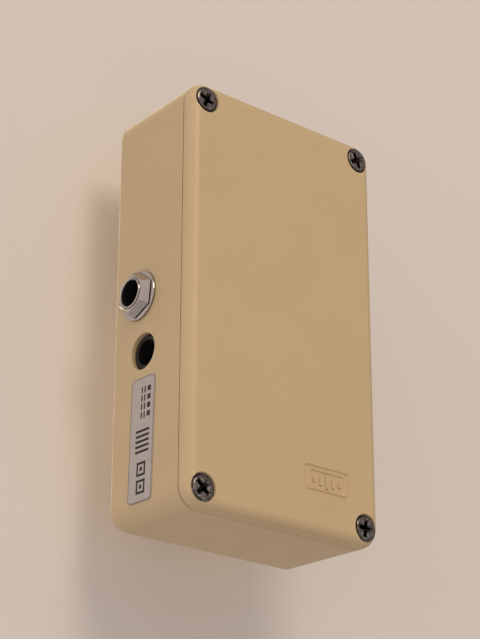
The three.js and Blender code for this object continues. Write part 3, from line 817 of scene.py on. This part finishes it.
def dress_nut(name, axis, place, thread_bore, shoulder):
    """A hexagon whose flats rise straight to the shoulder and then draw in to the bushing's neck."""
    node = name + "_nut"
    base, top = sorted(abs(edge.x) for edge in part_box(node))
    corner = max(size(node).y, size(node).z) / 2
    crown = (NECK + 0.35 * MM) / math.cos(math.pi / 6)
    first = math.radians(-7)  # the nut's turn on the bushing
    levels = ((base, corner - 0.15 * MM), (base + 0.15 * MM, corner), (shoulder - 0.4 * MM, corner),
              (top - 0.12 * MM, crown + 0.08 * MM), (top, crown - 0.05 * MM))
    angles = [first + i * math.pi / 3 for i in range(6)]
    body = loft([[(r * math.cos(a), r * math.sin(a), z) for a in angles] for z, r in levels])
    body.transform(Matrix.Translation(place) @ axis_matrix(axis))
    nut = new_piece(name + "_dress_nut", body)
    soften(nut, 0.16 * MM, 3, 20)
    neck = NECK + 0.1 * MM
    bore = [(0, base - MM), (thread_bore, base - MM), (thread_bore, shoulder + 0.15 * MM),
            (neck, shoulder + 0.15 * MM), (neck, top + MM), (0, top + MM)]
    combine(nut, [turned(bore, axis, place, SMOOTH_STEPS)], "DIFFERENCE")
    even_normals(nut)
    settle(nut, CHROME, "chrome", node)


def power_inlet():
    """The inlet's moulded body behind the wall, its collar in the wall's hole and its post."""
    low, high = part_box("dc_inlet_housing")
    post = middle("dc_inlet_pin")
    front = high.x - 1.4 * MM  # behind the wall's inner face
    body = new_piece("power_inlet_body", box_mesh(low, (front, high.y, high.z)))
    edge = 0.25 * MM
    collar = 4.4 * MM
    collar_profile = [(0, front - MM), (collar, front - MM), (collar, high.x - edge),
                      (collar - edge, high.x), (0, high.x)]
    combine(body, [turned(collar_profile, "x", (0, post.y, post.z), SMOOTH_STEPS)], "UNION")
    bore = hole(3.25 * MM, high.x, high.x - low.x - 2 * MM, "x", (0, post.y, post.z), 0.3 * MM)
    slot = box_mesh((low.x + 3 * MM, post.y - 1.4 * MM, low.z - MM),
                    (high.x - 3 * MM, post.y + 1.4 * MM, post.z - 2 * MM))
    combine(body, [bore, slot], "DIFFERENCE")
    soften(body, 0.2 * MM)
    even_normals(body)
    settle(body, BLACK, "black_plastic", "dc_inlet_housing")
    pin_low, pin_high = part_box("dc_inlet_pin")
    r = size("dc_inlet_pin").y / 2
    profile = [(0, pin_low.x), (r, pin_low.x), (r, pin_high.x - 0.8 * MM),
               (r * 0.8, pin_high.x - 0.3 * MM), (r * 0.45, pin_high.x - 0.05 * MM), (0, pin_high.x)]
    pin = new_piece("power_inlet_post", turned(profile, "x", (0, post.y, post.z)))
    settle(pin, CHROME, "chrome", "dc_inlet_pin")


def balanced_socket():
    """The round three-pin output on the rear end, with its two flange screws."""
    z = middle("xlr_insert").z
    socket_barrel(z)
    socket_insert(z)
    for index in range(1, 4):
        socket_contact(index)
    for side in ("left", "right"):
        flange_screw(side)


def socket_barrel(z):
    """The metal cup with its rolled lip, on a flange inside the wall."""
    low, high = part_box("xlr_shell")
    shell, cup = 11 * MM, 9.45 * MM
    profile = [(shell, low.y), (shell, high.y - 0.5 * MM), (shell - 0.15 * MM, high.y - 0.15 * MM),
               (shell - 0.45 * MM, high.y), (cup + 0.55 * MM, high.y), (cup + 0.2 * MM, high.y - 0.15 * MM),
               (cup, high.y - 0.6 * MM), (cup, low.y)]
    barrel = new_piece("balanced_socket_barrel", turned(profile, "y", (0, 0, z), SMOOTH_STEPS))
    wall = HALF_Y - WALL
    flange = box_mesh((low.x, wall - 2 * MM, low.z), (high.x, wall - 0.4 * MM, high.z))
    past = 0.1  # well past the flange
    holes = [rod(cup + 0.5 * MM, 0, past, "y", (0, 0, z), SMOOTH_STEPS)]
    holes += [rod(1.65 * MM, 0, past, "y", (middle(screw).x, 0, z))
              for screw in ("xlr_screw_left", "xlr_screw_right")]
    combine(barrel, [cut_tool(flange, holes)], "UNION")
    even_normals(barrel)
    settle(barrel, DARK, "dark_steel", "xlr_shell")


def socket_insert(z):
    """The moulded disc at the cup's bottom, with a round hole for each contact."""
    low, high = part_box("xlr_insert")
    face = high.y
    radius = size("xlr_insert").x / 2
    disc = [(0, low.y), (radius, low.y), (radius, face - 0.3 * MM), (radius - 0.3 * MM, face), (0, face)]
    insert = new_piece("balanced_socket_insert", turned(disc, "y", (0, 0, z), SMOOTH_STEPS))
    pins = [middle(f"xlr_pin_{i}") for i in range(1, 4)]
    collars = [hole(1.35 * MM, face, 20 * MM, "y", (pin.x, 0, pin.z), 0.3 * MM) for pin in pins]
    combine(insert, collars, "DIFFERENCE")
    even_normals(insert)
    settle(insert, BLACK, "black_plastic", "xlr_insert")


def socket_contact(index):
    """A plated pin with a domed tip."""
    node = f"xlr_pin_{index}"
    low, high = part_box(node)
    centre = middle(node)
    r = size(node).x / 2
    tip = [(r * math.cos(t), high.y - r * 0.9 + r * 0.9 * math.sin(t)) for t in (0, 0.4, 0.8, 1.2)]
    profile = [(0, low.y), (r - 0.2 * MM, low.y), (r, low.y + 0.2 * MM), *tip, (0, high.y)]
    contact = new_piece(f"balanced_contact_{index}", turned(profile, "y", (centre.x, 0, centre.z)))
    settle(contact, CHROME, "chrome", node)


def flange_screw(side):
    node = f"xlr_screw_{side}"
    low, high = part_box(node)
    centre = middle(node)
    head = size(node).x / 2
    shank = 1.5 * MM
    under = high.y - 1.5 * MM  # the underside of the head
    profile = [(0, low.y), (1.1 * MM, low.y), (shank, low.y + 0.5 * MM), (shank, under),
               (head - 0.1 * MM, under), (head, under + 0.1 * MM), (head, under + 0.55 * MM)]
    profile += [(head * math.cos(t), under + 0.55 * MM + (high.y - under - 0.55 * MM) * math.sin(t))
                for t in (0.3, 0.6, 0.9, 1.2)]
    profile.append((0, high.y))
    screw = new_piece(f"flange_screw_{side}", turned(profile, "y", (centre.x, 0, centre.z)))
    recess = cross_recess(0.8 * MM, 3.0 * MM, 1.0 * MM, "-y", (centre.x, high.y, centre.z), 0.3)
    combine(screw, recess, "DIFFERENCE")
    soften(screw, 0.05 * MM, 2)
    even_normals(screw)
    settle(screw, DARK, "dark_steel", node)


# ---------- rating label

LABEL_LONG, LABEL_WIDE, LABEL_THICK = 31.5 * MM, 9.4 * MM, 0.2 * MM
LABEL_CORNER = 1.4 * MM
LABEL_ASKEW = 1.5  # degrees


def label_matrix():
    """The label's plane: its x along the box, its y up the wall, its z out of the wall."""
    centre = middle("rating_label")
    wall = Matrix(((0, 0, 1), (1, 0, 0), (0, 1, 0))).to_4x4()
    lean = Matrix.Rotation(-math.atan(LEAN), 4, "Y")
    askew = Matrix.Rotation(-math.radians(LABEL_ASKEW), 4, "X")
    return Matrix.Translation(centre) @ lean @ askew @ wall


def label_ring(inset, z):
    return rounded_ring(LABEL_LONG / 2 - inset, LABEL_WIDE / 2 - inset, LABEL_CORNER - inset, z)


def rating_label():
    levels = ((0, -LABEL_THICK / 2), (0, 0.02 * MM), (0.03 * MM, 0.06 * MM))
    sheet = loft([label_ring(inset, z) for inset, z in levels])
    sheet.transform(label_matrix())
    film = new_piece("rating_label_film", sheet)
    even_normals(film)
    settle(film, FILM, "label_film", "rating_label")
    marks = new_piece("rating_label_marks", merged(label_marks()))
    marks.data.transform(label_matrix())
    settle(marks, INK, "label_film")


INK_LOW, INK_HIGH = 0.05 * MM, 0.075 * MM


def ink_bar(x, y, long, wide):
    """A printed bar centred at a place on the label."""
    return loft([[(x + sx * long / 2, y + sy * wide / 2, z) for sx, sy in SQUARE]
                 for z in (INK_LOW, INK_HIGH)])


def ink_frame(x, y, half, line):
    """A square outline round a dot."""
    sides = [ink_bar(x + side * (half - line / 2), y, line, 2 * half) for side in (-1, 1)]
    sides += [ink_bar(x, y + side * (half - line / 2), 2 * (half - line), line) for side in (-1, 1)]
    return sides + [ink_bar(x, y, line * 1.6, line * 1.6)]


def label_marks():
    """Plain marks with no meaning: rows of dashes and squares, a comb of bars, two square outlines."""
    top = 13.4 * MM  # the rear end of the printed area
    row = -2.5 * MM
    marks = []
    for i in range(4):
        x = top - 1.0 * MM - 2.15 * MM * i
        marks.append(ink_bar(x, row, 1.3 * MM, 1.3 * MM))
        marks += [ink_bar(x, row + 1.7 * MM + 1.15 * MM * j, 1.6 * MM, 0.5 * MM) for j in range(2)]
    marks += [ink_bar(2.0 * MM - 1.3 * MM * i, -0.4 * MM, 0.62 * MM, 5.4 * MM) for i in range(5)]
    for centre in (-7.6 * MM, -12.0 * MM):
        marks += ink_frame(centre, -0.3 * MM, 1.75 * MM, 0.6 * MM)
    return [*marks, label_border()]


def label_border():
    """A thin line round the label, just inside its cut edge."""
    outer = 0.08 * MM
    inner = outer + 0.12 * MM
    levels = ((outer, INK_LOW), (outer, INK_HIGH), (inner, INK_HIGH), (inner, INK_LOW))
    return loft([label_ring(inset, z) for inset, z in levels], closed=True)


# ---------- controls


def footswitch():
    """The threaded bushing with its washer and nut, and the domed button in it."""
    centre = (0, middle("footswitch_bushing").y, 0)
    low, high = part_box("footswitch_bushing")
    thread_r, guide = 6.0 * MM, 5.15 * MM
    collar = size("footswitch_bushing").x / 2
    crest = thread(thread_r, low.z + MM, high.z - 0.5 * MM, 0.75 * MM, 0.22 * MM)
    profile = [(guide, low.z), (collar, low.z), (collar, low.z + MM), *crest,
               (thread_r - 0.4 * MM, high.z), (guide + 0.25 * MM, high.z), (guide, high.z - 0.25 * MM)]
    bushing = new_piece("footswitch_threaded_bushing", turned(profile, "z", centre, SMOOTH_STEPS))
    settle(bushing, CHROME, "chrome", "footswitch_bushing")
    flat_washer("footswitch_flat_washer", "footswitch_washer", "z", thread_r + 0.15 * MM)
    hex_nut("footswitch_hex_nut", "footswitch_nut", thread_r + 0.15 * MM, 0.2)

    low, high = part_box("footswitch_plunger")
    button, stem = size("footswitch_plunger").x / 2, 4.9 * MM
    step, crown = low.z + 1.2 * MM, 1.3 * MM
    dome = [(stem * math.cos(t), high.z - crown + crown * math.sin(t))
            for t in (0, 0.25, 0.5, 0.8, 1.1, 1.35)]
    profile = [(0, low.z), (button, low.z), (button, step), (stem, step), *dome, (0, high.z)]
    plunger = new_piece("footswitch_button", turned(profile, "z", centre, SMOOTH_STEPS))
    settle(plunger, CHROME, "chrome", "footswitch_plunger", body="footswitch_plunger")


def level_knob():
    """A fluted knob with a crowned top, a hollow underside and a white pointer line."""
    low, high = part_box("level_knob")
    y = middle("level_knob").y
    screw = middle("knob_set_screw")
    knob = new_piece("level_knob_cap", knob_mesh(low.z, high.z, y))
    nut_room = BODY_HIGH.z + 5 * MM
    shaft_room = 43.8 * MM
    cutters = [
        rod(7.4 * MM, low.z - MM, nut_room, "z", (0, y, 0)),
        rod(3.15 * MM, low.z, shaft_room, "z", (0, y, 0)),
        rod(1.6 * MM, 3 * MM, 12 * MM, "-y", (0, y, screw.z)),
        box_mesh((-0.5 * MM, y + 1.5 * MM, high.z - 0.6 * MM), (0.5 * MM, y + 12 * MM, high.z + MM)),
    ]
    combine(knob, cutters, "DIFFERENCE")
    even_normals(knob)
    settle(knob, BLACK, "black_plastic", "level_knob", body="level_knob")
    line = box_mesh((-0.45 * MM, y + 1.55 * MM, high.z - 0.58 * MM),
                    (0.45 * MM, y + 8.2 * MM, high.z - 0.2 * MM))
    inlay = new_piece("knob_pointer_inlay", line)
    soften(inlay, 0.08 * MM, 2)
    settle(inlay, WHITE_INLAY, "black_plastic", body="level_knob")
    grub_screw(screw, y)


def knob_mesh(base, top, y):
    """A solid knob: a round skirt, flutes that fade out over the top's edge, and a low crown."""
    flute, side = 0.45 * MM, 0.1 * MM
    levels = [(base, 0.3 * MM, 0), (base + 0.3 * MM, 0, 0), (base + 1.6 * MM, 0, 0),
              (base + 1.9 * MM, 0, flute), (top - 1.6 * MM, side, flute)]
    for i in range(1, 7):
        angle = math.pi / 2 * i / 6
        inset = side + 1.2 * MM * (1 - math.cos(angle))
        levels.append((top - 1.4 * MM * (1 - math.sin(angle)), inset, flute * (1 - i / 6)))
    levels.append((top - 0.15 * MM, 3.0 * MM, 0))
    return loft([fluted_ring(z, inset, depth, y) for z, inset, depth in levels])


def fluted_ring(z, inset, depth, y):
    radius = size("level_knob").x / 2 - 0.02 * MM
    flutes, per_flute = 18, 12
    count = flutes * per_flute
    points = []
    for i in range(count):
        angle = 2 * math.pi * i / count
        ripple = depth * max(0.0, math.cos(flutes * angle)) ** 0.8
        r = radius - inset - ripple
        points.append((r * math.cos(angle), r * math.sin(angle) + y, z))
    return points


def grub_screw(centre, knob_y):
    low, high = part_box("knob_set_screw")
    r = size("knob_set_screw").x / 2
    start, end = knob_y - high.y, knob_y - low.y
    crest = thread(r, start + 0.3 * MM, end - 0.2 * MM, 0.5 * MM, 0.12 * MM)
    profile = [(0, start), (r - 0.3 * MM, start), *crest, (r - 0.2 * MM, end), (0, end)]
    screw = new_piece("knob_grub_screw", turned(profile, "-y", (centre.x, knob_y, centre.z)))
    slot = box_mesh((-2 * MM, low.y - MM, centre.z - 0.25 * MM),
                    (2 * MM, low.y + 0.8 * MM, centre.z + 0.25 * MM))
    combine(screw, [slot], "DIFFERENCE")
    settle(screw, DARK, "dark_steel", "knob_set_screw", body="level_knob")


def status_lamp():
    """The lamp's rounded bezel, and its domed lens with two legs."""
    low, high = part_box("led_bezel")
    y = middle("led_bezel").y
    sleeve, rim, bore = 2.95 * MM, size("led_bezel").x / 2, 2.55 * MM
    seat = BODY_HIGH.z + 0.15 * MM
    round_from = seat + 0.1 * MM
    profile = [(bore, low.z), (sleeve, low.z), (sleeve, seat), (rim - 0.05 * MM, seat), (rim, round_from)]
    profile += [(rim - 0.9 * MM * (1 - math.cos(t)), round_from + (high.z - round_from) * math.sin(t))
                for t in (0.4, 0.8, 1.2, math.pi / 2)]
    profile += [(bore + 0.1 * MM, high.z - 0.05 * MM), (bore, high.z - 0.25 * MM)]
    bezel = new_piece("lamp_bezel", turned(profile, "z", (0, y, 0), SMOOTH_STEPS))
    settle(bezel, CHROME, "chrome", "led_bezel")

    low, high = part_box("status_led")
    r = size("status_led").x / 2
    angles = [math.pi / 2 * i / 10 for i in range(10)]
    dome = [(r * math.cos(t), high.z - r + r * math.sin(t)) for t in angles]
    start = BODY_HIGH.z - WALL - 4 * MM
    lens = turned([(0, start), (r, start), *dome, (0, high.z)], "z", (0, y, 0))
    legs = [rod(0.3 * MM, low.z, start + 0.2 * MM, "z", (side * 1.27 * MM, y, 0), 12) for side in (-1, 1)]
    lamp = new_piece("lamp_lens_and_legs", lens)
    combine(lamp, legs, "UNION")
    settle(lamp, LENS, "red_lens", "status_led")


def slide_switches():
    for name in ("ground_lift", "pad"):
        node = name + "_slider"
        low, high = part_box(node)
        toggle = new_piece(name + "_toggle", box_mesh(low, high))
        starts = [low.y + (0.5 + 0.75 * i) * MM for i in range(4)]
        grooves = [box_mesh((low.x - MM, y, low.z - MM), (low.x + 0.35 * MM, y + 0.3 * MM, high.z + MM))
                   for y in starts]
        combine(toggle, grooves, "DIFFERENCE")
        soften(toggle, 0.08 * MM, 2)
        even_normals(toggle)
        settle(toggle, BLACK, "black_plastic", node, body=node)


# ---------- inner pieces


def finish_inner_pieces():
    """CAD nodes whose shape is right keep it, with softened edges and their own material."""
    finishes = {
        BLACK: ["input_jack_housing", "thru_jack_housing", "amplifier_chip"],
        BRASS: ["input_jack_tip_spring", "input_jack_sleeve_spring", "thru_jack_tip_spring",
                "thru_jack_sleeve_spring", "dc_inlet_spring", "footswitch_terminals", "level_pot_bushing"],
        BLUE: ["footswitch_body", "electrolytic_capacitor_1", "electrolytic_capacitor_2",
               "electrolytic_capacitor_3"],
        ALUMINIUM: ["ground_lift_switch_frame", "pad_switch_frame", "level_pot_body", "level_pot_shaft"],
        CHROME: ["level_pot_washer", "level_pot_nut"],
        SLEEVE: ["xlr_lead_1", "xlr_lead_2", "xlr_lead_3", "footswitch_ribbon"],
        LENS: ["film_capacitor"],
        LAMINATE: ["circuit_board"],
        IRON: ["transformer_core"],
        COPPER: ["transformer_winding"],
    }
    for material, names in finishes.items():
        for name in names:
            node = NODES[name]
            node.data.materials.clear()
            node.data.materials.append(material)
            soften(node, 0.12 * MM, 2)


# ---------- stage, camera and lights


def stage_sheet(name, z, facing_up):
    """A wide pale sheet that neither shades nor lights the box, nor shows in its reflections."""
    bm = bmesh.new()
    reach = 3.0
    bm.faces.new([bm.verts.new((sx * reach, sy * reach, z)) for sx, sy in SQUARE])
    bm.normal_update()
    if not facing_up:
        bmesh.ops.reverse_faces(bm, faces=bm.faces)
    sheet = add_object(name, mesh_of(name, bm))
    sheet.data.materials.append(pale_sheet())
    sheet.visible_shadow = False
    sheet.visible_diffuse = False
    sheet.visible_glossy = False


def make_stage():
    stage_sheet("floor", -0.05 * MM, True)
    controls_top = max(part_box(node)[1].z for node in NODES)
    stage_sheet("sheet_over_controls", controls_top + 0.05 * MM, False)


def area_light(name, place, target, width, power, colour):
    data = bpy.data.lights.new(name, "AREA")
    data.shape = "DISK"
    data.size = width
    data.energy = power
    data.color = colour
    light = add_object(name, data)
    light.location = place
    light.rotation_euler = (Vector(target) - Vector(place)).to_track_quat("-Z", "Y").to_euler()


KEY_COLOUR = (1.0, 0.83, 0.62)
WORLD_TINT = (1.0, 0.85, 0.78)


def world_ramp(tree, levels):
    """A ramp between two levels of the world's tint."""
    ramp = tree.nodes.new("ShaderNodeValToRGB")
    for element, level in zip(ramp.color_ramp.elements, levels):
        element.color = (*(level * part for part in WORLD_TINT), 1)
    return ramp


def studio_world():
    """A soft warm surround, darker towards the horizon and brighter on the input's side."""
    world = bpy.data.worlds.new("studio")
    world.use_nodes = True
    tree = world.node_tree
    place = tree.nodes.new("ShaderNodeTexCoord")
    split = tree.nodes.new("ShaderNodeSeparateXYZ")
    height = tree.nodes.new("ShaderNodeMath")
    height.operation = "ABSOLUTE"
    dome = world_ramp(tree, (0.62, 1.0))
    window = world_ramp(tree, (0.0, 0.7))
    both = tree.nodes.new("ShaderNodeMix")
    both.data_type = "RGBA"
    both.blend_type = "ADD"
    both.inputs["Factor"].default_value = 1.0
    background = tree.nodes["Background"]
    background.inputs["Strength"].default_value = 0.5
    for source, target in ((place.outputs["Generated"], split.inputs["Vector"]),
                           (split.outputs["Z"], height.inputs[0]),
                           (height.outputs[0], dome.inputs["Fac"]),
                           (split.outputs["X"], window.inputs["Fac"]),
                           (dome.outputs["Color"], both.inputs[6]),
                           (window.outputs["Color"], both.inputs[7]),
                           (both.outputs[2], background.inputs["Color"])):
        tree.links.new(source, target)
    bpy.context.scene.world = world


def make_lights():
    """Each light stands along a direction from the box, at a level on a surface facing it."""
    lights = (("cover_key", (0.12, 0.58, -0.8), 0.7, 0.275),
              ("control_key", (-0.35, 0.45, 0.82), 1.5, 0.35))
    target = Vector((0, 0, 16 * MM))
    away = 1.6
    for name, direction, width, level in lights:
        place = target + away * Vector(direction).normalized()
        area_light(name, place, target, width, level * math.pi**2 * away**2, KEY_COLOUR)
    studio_world()


# The camera of the main view, in metres: it looks up at the cover from the input's side.
CAMERA_PLACE = Vector((0.2872, -0.1850, -0.3265))
CAMERA_TARGET = Vector((0.0151, -0.0063, 0.0))
CAMERA_UP = Vector((0.250, 0.922, -0.296))
LENS_MM = 106.5


def make_camera():
    data = bpy.data.cameras.new("camera")
    data.lens = LENS_MM
    data.sensor_width = 36
    data.sensor_fit = "AUTO"
    data.clip_start = 0.01
    data.clip_end = 20
    back = (CAMERA_PLACE - CAMERA_TARGET).normalized()
    right = CAMERA_UP.cross(back).normalized()
    up = back.cross(right)
    turn = Matrix((right, up, back)).transposed().to_4x4()
    camera = add_object("camera", data)
    camera.matrix_world = Matrix.Translation(CAMERA_PLACE) @ turn
    bpy.context.scene.camera = camera
    bpy.context.scene.view_settings.view_transform = "Standard"


# ---------- the scene

make_camera()
make_stage()
make_lights()
enclosure_shell()
base_cover_plate()
for number, screw_turn in enumerate((0.35, 1.1, 0.75, 0.1), 1):
    cover_screw(number, screw_turn)
phone_jack("input_jack", "x")
phone_jack("thru_jack", "-x")
power_inlet()
balanced_socket()
rating_label()
footswitch()
level_knob()
status_lamp()
slide_switches()
finish_inner_pieces()
